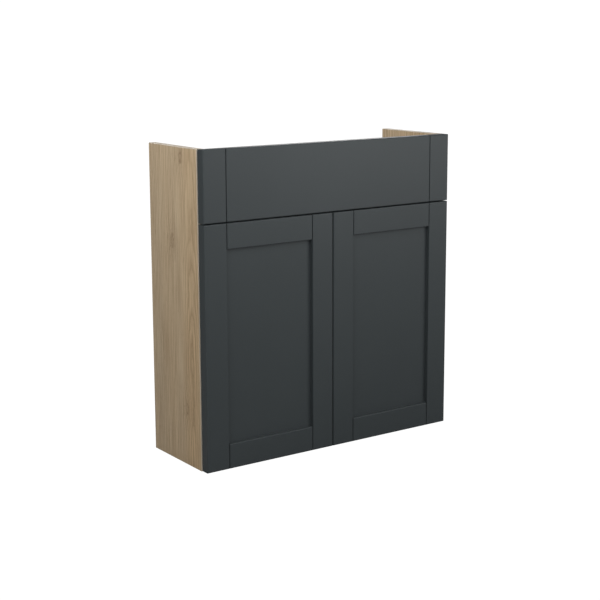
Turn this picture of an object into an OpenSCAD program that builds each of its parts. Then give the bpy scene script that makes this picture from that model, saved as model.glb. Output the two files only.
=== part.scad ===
// Two-door vanity unit: an open-topped carcass on concealed hinges,
// with framed doors under a fixed false-drawer front.
// All sizes are in millimetres. The fronts face -Y, +Z is up, and the
// origin is at the middle of the underside.

/* [Overall size] */
// Width over the side panels
unit_width = 600; // [450:1:900]
// Height from the underside to the top edges
unit_height = 625; // [560:1:800]
// Depth from the face of the doors to the rear edges
unit_depth = 205; // [190:1:400]

/* [Boards] */
// Thickness of the side panels, base, rails and shelf
board = 15; // [15:0.5:19]
// Thickness of the edging strips
edging = 1; // [0.6:0.1:2]
// Radius of the edging's outer corners
edging_round = 0.6; // [0.2:0.1:0.6]
// Height of the rail behind the false drawer front
front_rail_height = 80; // [60:1:100]
// How far the front rail reaches down behind the doors
front_rail_overlap = 22; // [15:1:30]
// Height of the upper rear rail that carries the wall screws
rear_rail_height = 90; // [70:1:120]
// Distance from the top edges down to the upper rear rail
rear_rail_drop = 50; // [30:1:100]
// Height of the lower rear rail that stands on the base
low_rail_height = 70; // [50:1:100]
// Across the wall: distance between the wall screw holes
wall_hole_span = 400; // [200:1:460]
// Up the wall: distance between the wall screw holes
wall_hole_rise = 50; // [30:1:60]
// Diameter of a wall screw hole
wall_hole_diameter = 6.5; // [5:0.1:9]

/* [Shelf] */
// Height of the underside of the shelf
shelf_height = 243.5; // [200:0.5:300]
// Front to back size of the shelf with its edging
shelf_depth = 140; // [120:1:150]
// Room between the shelf and each side panel
shelf_side_room = 1; // [0.5:0.1:3]
// Distance between two shelf holes
hole_pitch = 32; // [32:1:40]
// Distance of the front row of holes behind the carcass front
front_row = 37; // [37:0.5:45]
// Distance of the rear row of holes behind the carcass front
rear_row = 147; // [120:1:150]
// Diameter of a shelf pin and its hole
shelf_pin_diameter = 5; // [4:0.5:6]

/* [Fronts] */
// Thickness of the doors and the false drawer front
front_thickness = 19.5; // [18:0.5:22]
// Gap between the fronts and the carcass
back_gap = 2; // [1.5:0.1:3]
// Distance of the fronts inside the outer face of each side panel
side_reveal = 1; // [0.5:0.1:3]
// Height of the lower edge of the doors
low_reveal = 1; // [0.5:0.1:3]
// Gap between the two doors, and between them and the drawer front
front_gap = 2; // [2:0.1:5]
// Height of the false drawer front
fascia_height = 139; // [120:0.5:160]
// Width of the stiles and rails of a front
frame_width = 50; // [46:1:70]
// Depth of the sunk panel below the face of the frame
recess = 8; // [5:0.5:9]
// Thickness of the sunk panel
panel_thickness = 8; // [6:0.5:8]
// Depth of the panel groove, and length of the tongues in it
groove_depth = 8; // [6:0.5:8]
// Room between the panel edge and the bottom of its groove
panel_room = 0.5; // [0.2:0.1:1.5]
// Width of the fine slot along each frame joint
joint_slot = 1; // [0.5:0.1:2]
// Depth of that slot
joint_slot_depth = 2.5; // [1.5:0.1:4]
// Radius of the edges beside the joints and round the sunk panels
inner_round = 1.5; // [0.5:0.1:2]
// Radius of the outer front edges
front_round = 2; // [1:0.1:3]
// Diameter of a door bumper
bumper_diameter = 10; // [8:0.5:12]

/* [Hinges] */
// Distance of the lower hinges above the lower edge of the doors
low_hinge_rise = 89; // [80:1:110]
// Distance of the upper hinges below the top edge of the doors
high_hinge_drop = 89; // [80:1:110]
// Diameter of the hinge cup
cup_diameter = 35; // [35:0.5:36]
// Depth of the hinge cup
cup_depth = 13; // [13:0.1:13.5]
// Distance of the cup centre from the outer edge of the door
cup_distance = 21.5; // [21.5:0.1:22]
// Thickness of the cup wall and floor
cup_wall = 1.3; // [1:0.1:1.6]
// Width of the open middle of the cup
cup_mouth = 14.8; // [14:0.1:16]
// Thickness of the cup flange on the back of the door
flange_thickness = 1.2; // [0.8:0.1:1.5]
// Distance between the two screws of a cup
cup_screw_span = 48; // [48:0.5:52]
// Radius of the four hinge pins
pin_radius = 1; // [0.8:0.05:1.05]
// Thickness of the inner link plate
inner_link_plate = 5; // [4:0.1:5]
// Thickness of each outer link plate
outer_link_plate = 1.8; // [1.4:0.1:1.9]
// Width of the link strips seen from above
link_width = 2.8; // [2.4:0.1:3]
// Thickness of the sheet metal of the arm
arm_sheet = 1.5; // [1:0.1:1.6]
// Distance between the two screws of a mounting plate
plate_screw_span = 32; // [32:1:34]

/* [Fittings] */
// Diameter of a wooden dowel
dowel_diameter = 8; // [6:0.5:8]
// Length of a wooden dowel
dowel_length = 30; // [25:1:35]
// Diameter of a cam lock
cam_diameter = 15; // [15:0.5:16]
// Depth of a cam lock in its board
cam_depth = 12.5; // [11:0.5:12.5]
// Distance of the cam centre from the end of the board
cam_distance = 34; // [30:1:36]
// Length of the legs of the brackets that hold the top of the drawer front
bracket_leg = 24; // [20:1:28]
// Height of these brackets
bracket_height = 18; // [14:1:24]
// Thickness of their legs
bracket_wall = 4; // [3:0.5:5]
// Distance of the brackets below the top edges
bracket_drop = 15; // [10:1:30]
// Radius of a fixing screw's shank
screw_radius = 2; // [1.5:0.1:2.5]

/* [Hidden] */
$fn = 64;
// Radial clearance between a turning piece and its pin
running_fit = 0.03;
// Radial clearance around a fixed fitting in its bore
bore_fit = 0.02;
// Room between pieces that slide past one another
slip = 0.2;
// Length by which a cutting shape passes the face it cuts
past = 1;

half_width = unit_width / 2;
half_inside = half_width - board;
face_y = -unit_depth / 2;
door_back = face_y + front_thickness;
carcass_front = door_back + back_gap;
carcass_rear = unit_depth / 2;
carcass_depth = carcass_rear - carcass_front;

front_width = unit_width - 2 * side_reveal;
door_width = (front_width - front_gap) / 2;
fascia_low = unit_height - fascia_height;
door_top = fascia_low - front_gap;
door_height = door_top - low_reveal;

front_rail_low = door_top - front_rail_overlap;
rear_rail_low = unit_height - rear_rail_drop - rear_rail_height;
rear_rail_y = carcass_rear - board;

shelf_pin_head_radius = 3.5;
shelf_pin_head = 7;
shelf_pin_depth = 9;
shelf_pin_z = shelf_height - shelf_pin_head_radius;
shelf_pin_collar = 1.5;
shelf_back_room = 0.5;
shelf_y = rear_rail_y - shelf_depth - shelf_back_room;
hole_rows = [carcass_front + front_row, carcass_front + rear_row];

hinge_heights = [low_reveal + low_hinge_rise, door_top - high_hinge_drop];
plate_row = front_row + back_gap;

// Positions along the ends of the base and rails, as [y, z, turn]:
// the turn points the open face of the cam lock away from view
base_mid = board / 2;
front_mid = carcass_front + board / 2;
rear_mid = carcass_rear - board / 2;
cam_spots = [
    [carcass_front + carcass_depth / 2, base_mid, 180],
    [front_mid, front_rail_low + front_rail_height / 2, -90],
    [rear_mid, rear_rail_low + rear_rail_height / 2, 90],
    [rear_mid, board + low_rail_height / 2, 90]];
dowel_inset = 15;
base_dowel_inset = 30;
dowel_spots = [
    [carcass_front + base_dowel_inset, base_mid],
    [carcass_rear - base_dowel_inset, base_mid],
    [front_mid, front_rail_low + dowel_inset],
    [front_mid, front_rail_low + front_rail_height - dowel_inset],
    [rear_mid, rear_rail_low + dowel_inset],
    [rear_mid, rear_rail_low + rear_rail_height - dowel_inset],
    [rear_mid, board + dowel_inset],
    [rear_mid, board + low_rail_height - dowel_inset]];

// The dowels and their bores
dowel_chamfer = 1;
dowel_in_side = 12;
dowel_end_room = 0.5;
dowel_hole_side = dowel_in_side + dowel_end_room;
dowel_hole_board = dowel_length - dowel_in_side + dowel_end_room;

// The bolts and the locks: thread in the side panel, then collar,
// shaft and a neck that the lock grips behind the head
bolt_thread = 11;
bolt_thread_radius = 2.5;
bolt_tip = 0.6;
bolt_shaft_radius = 3;
bolt_neck_radius = 1.6;
bolt_collar = 2.5;
bolt_collar_radius = 3.9;
bolt_bore_radius = bolt_collar_radius + 0.1 + bore_fit;
bolt_head = cam_distance - 1.5;
bolt_shoulder = bolt_head - 5;
bolt_end = cam_distance + 1.5;
cam_room = 0.4;
cam_recess = 6;

// The screws and spacers of the false drawer front
fascia_screw_z = (fascia_low + front_rail_low + front_rail_height) / 2;
fascia_screw_grip = 11;
spacer_radius = 10;
bracket_top = unit_height - bracket_drop;
bracket_screw_z = bracket_top - bracket_height / 2;
bracket_screw_inset = 9;
bracket_screw_reach = bracket_leg - bracket_screw_inset;
bracket_screw_grip = 11;
gusset = 2;
screw_head_radius = 4;
screw_head = 2.4;
screw_recess = 4.4;
recess_width = 1;
recess_depth = 1.2;

// The bumpers on the rear face of the doors
bumper_inset = 15;
bumper_room = 0.1;
bumper_bevel = 0.8;
bumper_drop = 10;
bumper_heights = [board / 2, door_top - bumper_drop];

// Hinge pivots seen from above, as [in from the door's outer edge,
// back from the door's rear face]: two on the arm, two in the cup
arm_rear_pivot = [30.5, 18];
arm_front_pivot = [35.5, 3.6];
outer_pin_offset = 12.9;
inner_pin_offset = 9.7;
cup_outer_pin = [cup_distance - outer_pin_offset, -2.4];
cup_inner_pin = [cup_distance - inner_pin_offset, -7];
// The inner link holds its cup pin in a wide eye, so that the links
// can turn at steady rates without binding
wide_eye_offset = 10.23;
wide_eye = [cup_distance - wide_eye_offset, -8.1];
wide_eye_radius = pin_radius + 1.3;
wide_eye_rim = 0.9;
eye_rim = 1.2;
arm_eye_rim = 1.6;
outer_link_path = [cup_outer_pin, [14.5, -3.6], [21.5, -2], [26, 6], arm_rear_pivot];
inner_link_path = [wide_eye, [16, -9.6], [20.5, -9], [28.5, -4], arm_front_pivot];
link_gap = 0.5;
outer_link_start = inner_link_plate / 2 + link_gap;
arm_cheek_start = outer_link_start + outer_link_plate + link_gap;
arm_half = arm_cheek_start + arm_sheet;
rivet_head_radius = 1.8;
rivet_head = 0.5;
rivet_bite = 0.5;

// The cup, its flange on the back of the door and its fixings
cup_edge = 0.8;
cup_screw_offset = 9.5;
cup_screw_x = cup_distance + cup_screw_offset;
cup_screw_radius = 1.75;
cup_screw_length = 12;
cup_screw_head_radius = 3.6;
cup_screw_head = 1.6;
flange_end = 5.5;
flange_front = cup_distance - flange_end;
flange_rear = cup_screw_x + flange_end;
flange_front_half = 14;
flange_tangent = 141;
pin_length = 22;

// The mounting plate and the arm, by their distance in from the door's
// outer edge and back from its rear face
plate_floor = board - side_reveal;
plate_base = 2;
plate_wing = 7;
plate_rear = 68;
bridge_slope = 3;
arm_top = 30.5;
arm_rear = 70;
arm_floor = 22;
arm_nose = pin_radius + 1.8;
arm_crest = arm_front_pivot[0] + 3;
arm_crest_front = 10;
arm_crest_rear = 19;
arm_slope_rear = 31;
arm_corner = 4;
arm_slot = 3.5;
arm_rear_nose = 3.4;
arm_screw_rows = [42, 61];
arm_screw_length = 10;
arm_screw_head_radius = 3.3;
arm_screw_head = 1.8;
plate_side_room = 0.3;
plate_half = arm_cheek_start - plate_side_room;
plate_screw_grip = 11;
plate_screw_radius = 2.5;
plate_screw_head_radius = 4.5;
plate_screw_head = 1.8;
plate_screw_recess = 5;

// Colours for the preview only
oak = [0.62, 0.55, 0.44];
dark = [0.26, 0.28, 0.29];
bare = [0.75, 0.68, 0.55];
zinc = [0.72, 0.72, 0.70];
steel = [0.55, 0.55, 0.56];
rubbery = [0.85, 0.85, 0.83];

// Shared helpers

module box(low, high) {
    translate(low) cube([for (i = [0:2]) high[i] - low[i]]);
}

// Cylinders along +X and +Y from a point, and along Z about a point
module rod_x(at, radius, length) {
    translate(at) rotate([0, 90, 0]) cylinder(r = radius, h = length);
}

module rod_y(at, radius, length) {
    translate(at) rotate([-90, 0, 0]) cylinder(r = radius, h = length);
}

module rod_z(at, radius, length) {
    translate([at[0], at[1], -length / 2]) cylinder(r = radius, h = length);
}

module mirrored() {
    mirror([1, 0, 0]) children();
}

module both_sides() {
    children();
    mirrored() children();
}

module at_left_ends(spots) {
    for (s = spots)
        translate([-half_inside, s[0], s[1]])
            rotate([len(s) > 2 ? s[2] : 0, 0, 0]) children();
}

module at_left_hinges() {
    for (h = hinge_heights)
        translate([-half_width + side_reveal, door_back, h]) children();
}

function fascia_screw_places() = [for (k = [-0.36, -0.12, 0.12, 0.36]) k * unit_width];

// Carcass boards and their bores

module dowel_bore_side() {
    rod_x([-dowel_hole_side, 0, 0], dowel_diameter / 2 + bore_fit, dowel_hole_side + past);
}

module dowel_bore_board() {
    rod_x([-past, 0, 0], dowel_diameter / 2 + bore_fit, dowel_hole_board + past);
}

// Bores at a board's end for one cam lock and its bolt
module cam_bores() {
    rod_x([-past, 0, 0], bolt_bore_radius, cam_distance + past);
    translate([cam_distance, 0, board / 2 - cam_depth])
        cylinder(r = cam_diameter / 2, h = cam_depth + past);
}

module end_bores(dowels_here, cams_here) {
    both_sides() {
        at_left_ends(dowels_here) dowel_bore_board();
        at_left_ends(cams_here) cam_bores();
    }
}

module side_panel() {
    difference() {
        box([-half_width, carcass_front + edging, 0],
            [-half_inside, carcass_rear, unit_height - edging]);
        at_left_ends(dowel_spots) dowel_bore_side();
        at_left_ends(cam_spots)
            rod_x([-bolt_thread, 0, 0], bolt_thread_radius + bore_fit, bolt_thread + past);
        for (y = hole_rows, k = [-2:2])
            rod_x([-half_inside - shelf_pin_depth, y, shelf_pin_z + k * hole_pitch],
                shelf_pin_diameter / 2 + bore_fit, shelf_pin_depth + past);
        at_left_hinges()
            plate_screw_shanks(plate_screw_radius + bore_fit, past);
        rod_x([-half_inside - bracket_screw_grip, door_back + bracket_screw_reach,
            bracket_screw_z], screw_radius + bore_fit, bracket_screw_grip + past);
    }
}

module left_side() {
    color(oak) side_panel();
}

module right_side() {
    color(oak) mirrored() side_panel();
}

module base() {
    color(oak)
        difference() {
            box([-half_inside, carcass_front + edging, 0],
                [half_inside, carcass_rear, board]);
            end_bores([for (i = [0, 1]) dowel_spots[i]], [cam_spots[0]]);
        }
}

module front_rail() {
    color(oak)
        difference() {
            box([-half_inside, carcass_front, front_rail_low],
                [half_inside, carcass_front + board, front_rail_low + front_rail_height]);
            end_bores([for (i = [2, 3]) dowel_spots[i]], [cam_spots[1]]);
            for (x = fascia_screw_places())
                rod_y([x, carcass_front - past, fascia_screw_z],
                    screw_radius + bore_fit, board + 2 * past);
        }
}

module rear_top_rail() {
    color(oak)
        difference() {
            box([-half_inside, rear_rail_y, rear_rail_low],
                [half_inside, carcass_rear, rear_rail_low + rear_rail_height]);
            end_bores([for (i = [4, 5]) dowel_spots[i]], [cam_spots[2]]);
            for (x = [-1, 1], z = [-1, 1])
                rod_y([x * wall_hole_span / 2, rear_rail_y - past,
                    rear_rail_low + rear_rail_height / 2 + z * wall_hole_rise / 2],
                    wall_hole_diameter / 2, board + 2 * past);
        }
}

module rear_low_rail() {
    color(oak)
        difference() {
            box([-half_inside, rear_rail_y, board],
                [half_inside, carcass_rear, board + low_rail_height]);
            end_bores([for (i = [6, 7]) dowel_spots[i]], [cam_spots[3]]);
        }
}

module shelf() {
    color(oak)
        box([-half_inside + shelf_side_room, shelf_y + edging, shelf_height],
            [half_inside - shelf_side_room, shelf_y + shelf_depth, shelf_height + board]);
}

// The rest of a square corner outside its rounding
module corner_waste(radius) {
    difference() {
        translate([-past, -past]) square(radius + past);
        translate([radius, radius]) circle(radius);
    }
}

// An edging strip standing on the edge of a board, its face along +Y
module strip_outline() {
    difference() {
        square([board, edging]);
        corner_waste(edging_round);
        translate([board, 0]) mirror([1, 0]) corner_waste(edging_round);
    }
}

module front_edging() {
    color(oak) both_sides()
        translate([-half_width, carcass_front, 0])
            linear_extrude(unit_height - edging) strip_outline();
}

module top_edging() {
    color(oak) both_sides()
        translate([-half_width, carcass_front, unit_height]) rotate([-90, 0, 0])
            linear_extrude(carcass_depth) strip_outline();
}

// A strip along X on the front edge of a level board
module level_edging(half_length, y, z) {
    translate([half_length, y, z]) rotate([0, -90, 0])
        linear_extrude(2 * half_length) strip_outline();
}

module base_edging() {
    color(oak) level_edging(half_inside, carcass_front, 0);
}

module shelf_edging() {
    color(oak) level_edging(half_inside - shelf_side_room, shelf_y, shelf_height);
}

// Carcass joints and shelf pins

module dowels() {
    color(bare) both_sides() at_left_ends(dowel_spots)
        translate([-dowel_in_side, 0, 0]) rotate([0, 90, 0]) {
            cylinder(r1 = dowel_diameter / 2 - dowel_chamfer, r2 = dowel_diameter / 2,
                h = dowel_chamfer);
            translate([0, 0, dowel_chamfer])
                cylinder(r = dowel_diameter / 2, h = dowel_length - 2 * dowel_chamfer);
            translate([0, 0, dowel_length - dowel_chamfer])
                cylinder(r1 = dowel_diameter / 2, r2 = dowel_diameter / 2 - dowel_chamfer,
                    h = dowel_chamfer);
        }
}

module cam_bolts() {
    color(steel) both_sides() at_left_ends(cam_spots)
        rotate([0, 90, 0]) rotate_extrude()
            polygon([[0, -bolt_thread], [bolt_thread_radius - bolt_tip, -bolt_thread],
                [bolt_thread_radius, bolt_tip - bolt_thread], [bolt_thread_radius, 0],
                [bolt_collar_radius, 0], [bolt_collar_radius, bolt_collar],
                [bolt_shaft_radius, bolt_collar], [bolt_shaft_radius, bolt_shoulder],
                [bolt_neck_radius, bolt_shoulder], [bolt_neck_radius, bolt_head],
                [bolt_shaft_radius, bolt_head], [bolt_shaft_radius, bolt_end], [0, bolt_end]]);
}

// Each cam is slotted from its hidden end to take the neck and head of
// its bolt, and has a cross recess in the face that is turned
module cam_lock() {
    hidden = board / 2 - cam_depth;
    neck = bolt_neck_radius + cam_room;
    room = bolt_shaft_radius + slip;
    difference() {
        translate([cam_distance, 0, hidden])
            cylinder(r = cam_diameter / 2 - bore_fit, h = cam_depth);
        box([cam_distance - cam_diameter / 2 - past, -neck, hidden - past],
            [cam_distance, neck, neck]);
        box([bolt_head - slip, -room, hidden - past], [bolt_end + slip, room, room]);
        box([cam_distance - cam_diameter / 2 - past, -room, hidden - past],
            [bolt_shoulder + slip / 2, room, room]);
        translate([cam_distance, 0, board / 2]) cross_recess(cam_recess, recess_depth);
    }
}

// A cross recess cut downwards from the plane z = 0
module cross_recess(size, depth) {
    for (turn = [0, 90])
        rotate([0, 0, turn])
            translate([-size / 2, -recess_width / 2, -depth])
                cube([size, recess_width, depth + past]);
}

module cam_locks() {
    color(zinc) both_sides() at_left_ends(cam_spots) cam_lock();
}

module shelf_pins() {
    color(steel) both_sides()
        for (y = hole_rows) {
            rod_x([-half_inside - shelf_pin_depth, y, shelf_pin_z],
                shelf_pin_diameter / 2, shelf_pin_depth);
            rod_x([-half_inside, y, shelf_pin_z], shelf_pin_head_radius, shelf_pin_head);
            rod_x([-half_inside, y, shelf_pin_z], shelf_pin_head_radius + shelf_pin_collar,
                shelf_side_room - slip);
        }
}

// Framed fronts

module front_outline(length) {
    difference() {
        square([length, front_thickness]);
        corner_waste(front_round);
        translate([length, 0]) mirror([1, 0]) corner_waste(front_round);
    }
}

// A front with its four outer face edges rounded
module front_blank(width, height) {
    intersection() {
        linear_extrude(height) front_outline(width);
        translate([width, 0, 0]) rotate([0, -90, 0])
            linear_extrude(width) front_outline(height);
    }
}

// Where a stile meets the rails, the edges are rounded and a fine slot
// is cut half into each
module joint_cut(x, height) {
    box([x - joint_slot / 2, -past, -past],
        [x + joint_slot / 2, joint_slot_depth, height + past]);
    for (side = [0, 1])
        translate([x, 0, -past]) linear_extrude(height + 2 * past)
            mirror([side, 0]) corner_waste(inner_round);
}

// The rounded edge of a rail above or below the sunk panel
module panel_edge_cut(width) {
    translate([width + past, 0, frame_width]) rotate([0, -90, 0])
        linear_extrude(width + 2 * past) mirror([1, 0]) corner_waste(inner_round);
}

module upright_groove(height) {
    box([frame_width - groove_depth, recess, -past],
        [frame_width + past, recess + panel_thickness, height + past]);
}

module stile(width, height) {
    difference() {
        intersection() {
            front_blank(width, height);
            box([-past, -past, -past], [frame_width, front_thickness + past, height + past]);
        }
        joint_cut(frame_width, height);
        upright_groove(height);
    }
}

// The lower rail of a door; the upper one is the same turned over
module door_rail() {
    difference() {
        intersection() {
            front_blank(door_width, door_height);
            union() {
                box([frame_width, -past, -past],
                    [door_width - frame_width, front_thickness + past, frame_width]);
                box([frame_width - groove_depth, recess, -past],
                    [door_width - frame_width + groove_depth,
                    recess + panel_thickness, frame_width]);
            }
        }
        joint_cut(frame_width, frame_width);
        joint_cut(door_width - frame_width, frame_width);
        panel_edge_cut(door_width);
        box([-past, recess, frame_width - groove_depth],
            [door_width + past, recess + panel_thickness, frame_width + past]);
    }
}

module door_panel() {
    low = frame_width - groove_depth + panel_room;
    box([low, recess, low], [door_width - low, recess + panel_thickness, door_height - low]);
}

module at_left_door() {
    translate([-half_width + side_reveal, face_y, low_reveal]) children();
}

// Turns a shape left for right, or top for bottom, within its length
module reversed_x(length) {
    translate([length, 0, 0]) mirror([1, 0, 0]) children();
}

module reversed_z(length) {
    translate([0, 0, length]) mirror([0, 0, 1]) children();
}

module hinge_stile() {
    difference() {
        at_left_door() stile(door_width, door_height);
        at_left_hinges() {
            rod_y([cup_distance, -cup_depth, 0], cup_diameter / 2 + bore_fit, cup_depth + past);
            cup_screw_shanks(cup_screw_radius + bore_fit, past);
        }
    }
}

module meeting_stile() {
    at_left_door() reversed_x(door_width) stile(door_width, door_height);
}

module top_rail() {
    at_left_door() reversed_z(door_height) door_rail();
}

module low_rail() {
    at_left_door() door_rail();
}

module panel() {
    at_left_door() door_panel();
}

// Soft buttons with a bevelled rim
module bumpers() {
    rise = back_gap - bumper_room;
    radius = bumper_diameter / 2;
    for (z = bumper_heights)
        translate([-front_gap / 2 - bumper_inset, door_back, z]) rotate([-90, 0, 0])
            rotate_extrude()
                polygon([[0, 0], [radius, 0], [radius, rise - bumper_bevel],
                    [radius - bumper_bevel, rise], [0, rise]]);
}

module left_hinge_stile() {
    color(dark) hinge_stile();
}

module left_meeting_stile() {
    color(dark) meeting_stile();
}

module left_top_rail() {
    color(dark) top_rail();
}

module left_low_rail() {
    color(dark) low_rail();
}

module left_panel() {
    color(dark) panel();
}

module left_bumpers() {
    color(rubbery) bumpers();
}

module right_hinge_stile() {
    color(dark) mirrored() hinge_stile();
}

module right_meeting_stile() {
    color(dark) mirrored() meeting_stile();
}

module right_top_rail() {
    color(dark) mirrored() top_rail();
}

module right_low_rail() {
    color(dark) mirrored() low_rail();
}

module right_panel() {
    color(dark) mirrored() panel();
}

module right_bumpers() {
    color(rubbery) mirrored() bumpers();
}

// False drawer front and its fixings

module at_fascia() {
    translate([-half_width + side_reveal, face_y, fascia_low]) children();
}

module fascia_bores() {
    for (x = fascia_screw_places())
        rod_y([x, door_back - fascia_screw_grip, fascia_screw_z],
            screw_radius + bore_fit, fascia_screw_grip + past);
}

module fascia_panel() {
    tongue = groove_depth - panel_room;
    color(dark)
        difference() {
            at_fascia()
                difference() {
                    intersection() {
                        front_blank(front_width, fascia_height);
                        union() {
                            box([frame_width, -past, -past],
                                [front_width - frame_width, front_thickness + past,
                                fascia_height + past]);
                            box([frame_width - tongue, recess, -past],
                                [front_width - frame_width + tongue,
                                recess + panel_thickness, fascia_height + past]);
                        }
                    }
                    joint_cut(frame_width, fascia_height);
                    joint_cut(front_width - frame_width, fascia_height);
                }
            fascia_bores();
        }
}

module fascia_stile() {
    difference() {
        at_fascia() stile(front_width, fascia_height);
        rod_y([bracket_screw_reach - half_inside, door_back - bracket_screw_grip,
            bracket_screw_z], screw_radius + bore_fit, bracket_screw_grip + past);
    }
}

module fascia_left_stile() {
    color(dark) fascia_stile();
}

module fascia_right_stile() {
    color(dark) mirrored() fascia_stile();
}

module fascia_spacers() {
    color(rubbery)
        for (x = fascia_screw_places())
            difference() {
                rod_y([x, door_back, fascia_screw_z], spacer_radius, back_gap);
                rod_y([x, door_back - past, fascia_screw_z],
                    screw_radius + bore_fit, back_gap + 2 * past);
            }
}

// A pan-head screw along +Y, from its tip to the top of its head
module screw_y(at, length) {
    difference() {
        union() {
            rod_y(at, screw_radius, length);
            rod_y(at + [0, length, 0], screw_head_radius, screw_head);
        }
        translate(at + [0, length + screw_head, 0]) rotate([-90, 0, 0])
            cross_recess(screw_recess, recess_depth);
    }
}

module screw_x(at, length) {
    translate(at) rotate([0, 0, -90]) screw_y([0, 0, 0], length);
}

module fascia_screws() {
    color(steel)
        for (x = fascia_screw_places())
            screw_y([x, door_back - fascia_screw_grip, fascia_screw_z],
                fascia_screw_grip + back_gap + board);
}

// A moulded angle with a gusset at each end, between side and drawer front
module fascia_brackets() {
    color(rubbery) both_sides()
        translate([-half_inside, door_back, bracket_top - bracket_height])
            difference() {
                union() {
                    linear_extrude(bracket_height) {
                        square([bracket_leg, bracket_wall]);
                        square([bracket_wall, bracket_leg]);
                    }
                    for (z = [0, bracket_height - gusset])
                        translate([0, 0, z]) linear_extrude(gusset)
                            polygon([[0, 0], [bracket_leg, 0], [bracket_leg, bracket_wall],
                                [bracket_wall, bracket_leg], [0, bracket_leg]]);
                }
                rod_x([-past, bracket_screw_reach, bracket_height / 2],
                    screw_radius + bore_fit, bracket_wall + 2 * past);
                rod_y([bracket_screw_reach, -past, bracket_height / 2],
                    screw_radius + bore_fit, bracket_wall + 2 * past);
            }
}

module bracket_screws() {
    color(steel) both_sides() {
        screw_x([-half_inside - bracket_screw_grip, door_back + bracket_screw_reach,
            bracket_screw_z], bracket_screw_grip + bracket_wall);
        screw_y([bracket_screw_reach - half_inside, door_back - bracket_screw_grip,
            bracket_screw_z], bracket_screw_grip + bracket_wall);
    }
}

// Concealed hinges

module cup_screw_shanks(radius, extra) {
    for (z = [-1, 1])
        rod_y([cup_screw_x, -cup_screw_length, z * cup_screw_span / 2],
            radius, cup_screw_length + flange_thickness + extra);
}

// The open middle of the cup has flat walls that carry the two pins
module cup_cavity() {
    intersection() {
        rod_y([cup_distance, cup_wall - cup_depth, 0], cup_diameter / 2 - cup_wall,
            cup_depth + flange_thickness + past);
        box([0, -cup_depth, -cup_mouth / 2],
            [2 * cup_distance, flange_thickness + 2 * past, cup_mouth / 2]);
    }
}

// The flange widens from the cup to a round ear at each screw
module cup_flange() {
    ear = [cup_screw_x, cup_screw_span / 2];
    touch = ear + flange_end * [cos(flange_tangent), sin(flange_tangent)];
    rotate([90, 0, 0]) mirror([0, 0, 1]) linear_extrude(flange_thickness)
        for (side = [0, 1])
            mirror([0, side]) {
                polygon([[flange_front, 0], [flange_front, flange_front_half], touch, ear,
                    [flange_rear, ear[1]], [flange_rear, 0]]);
                translate(ear) circle(flange_end);
            }
}

module hinge_cup() {
    difference() {
        union() {
            translate([cup_distance, 0, 0]) rotate([90, 0, 0]) rotate_extrude()
                polygon([[0, 0], [cup_diameter / 2, 0],
                    [cup_diameter / 2, cup_depth - cup_edge],
                    [cup_diameter / 2 - cup_edge, cup_depth], [0, cup_depth]]);
            cup_flange();
        }
        cup_cavity();
        box([flange_front - past, 0, -cup_mouth / 2],
            [flange_rear + past, flange_thickness + past, cup_mouth / 2]);
        cup_screw_shanks(cup_screw_radius + bore_fit, past);
        for (p = [cup_outer_pin, cup_inner_pin])
            rod_z(p, pin_radius + bore_fit, pin_length);
    }
}

module cup_pins() {
    for (p = [cup_outer_pin, cup_inner_pin])
        rod_z(p, pin_radius, pin_length);
}

module cup_screws() {
    difference() {
        union() {
            cup_screw_shanks(cup_screw_radius, 0);
            for (z = [-1, 1])
                rod_y([cup_screw_x, flange_thickness, z * cup_screw_span / 2],
                    cup_screw_head_radius, cup_screw_head);
        }
        for (z = [-1, 1])
            translate([cup_screw_x, flange_thickness + cup_screw_head, z * cup_screw_span / 2])
                rotate([-90, 0, 0]) cross_recess(screw_recess, recess_depth);
    }
}

// A strip of metal seen from above, from one point to the next
module strip(from, to, width) {
    run = to - from;
    translate(from) rotate(atan2(run[1], run[0]))
        translate([0, -width / 2]) square([norm(run), width]);
}

module link_outline(path, start_radius, end_radius) {
    for (i = [0:len(path) - 2])
        strip(path[i], path[i + 1], link_width);
    for (i = [1:len(path) - 2])
        translate(path[i]) circle(link_width / 2);
    translate(path[0]) circle(start_radius);
    translate(path[len(path) - 1]) circle(end_radius);
}

// Two hooked plates that reach round the edge of the side panel,
// riveted to one another near the arm
module outer_link() {
    rivet = (outer_link_path[3] * 2 + outer_link_path[4]) / 3;
    difference() {
        for (side = [0, 1])
            mirror([0, 0, side])
                translate([0, 0, outer_link_start]) linear_extrude(outer_link_plate)
                    link_outline(outer_link_path, pin_radius + eye_rim,
                        pin_radius + arm_eye_rim);
        for (p = [cup_outer_pin, arm_rear_pivot])
            rod_z(p, pin_radius + running_fit, 2 * arm_half);
    }
    rod_z(rivet, link_width / 2, 2 * (outer_link_start + rivet_bite));
}

module inner_link() {
    difference() {
        translate([0, 0, -inner_link_plate / 2]) linear_extrude(inner_link_plate)
            link_outline(inner_link_path, wide_eye_radius + wide_eye_rim,
                pin_radius + arm_eye_rim);
        rod_z(wide_eye, wide_eye_radius, 2 * arm_half);
        rod_z(arm_front_pivot, pin_radius + running_fit, 2 * arm_half);
    }
}

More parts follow.
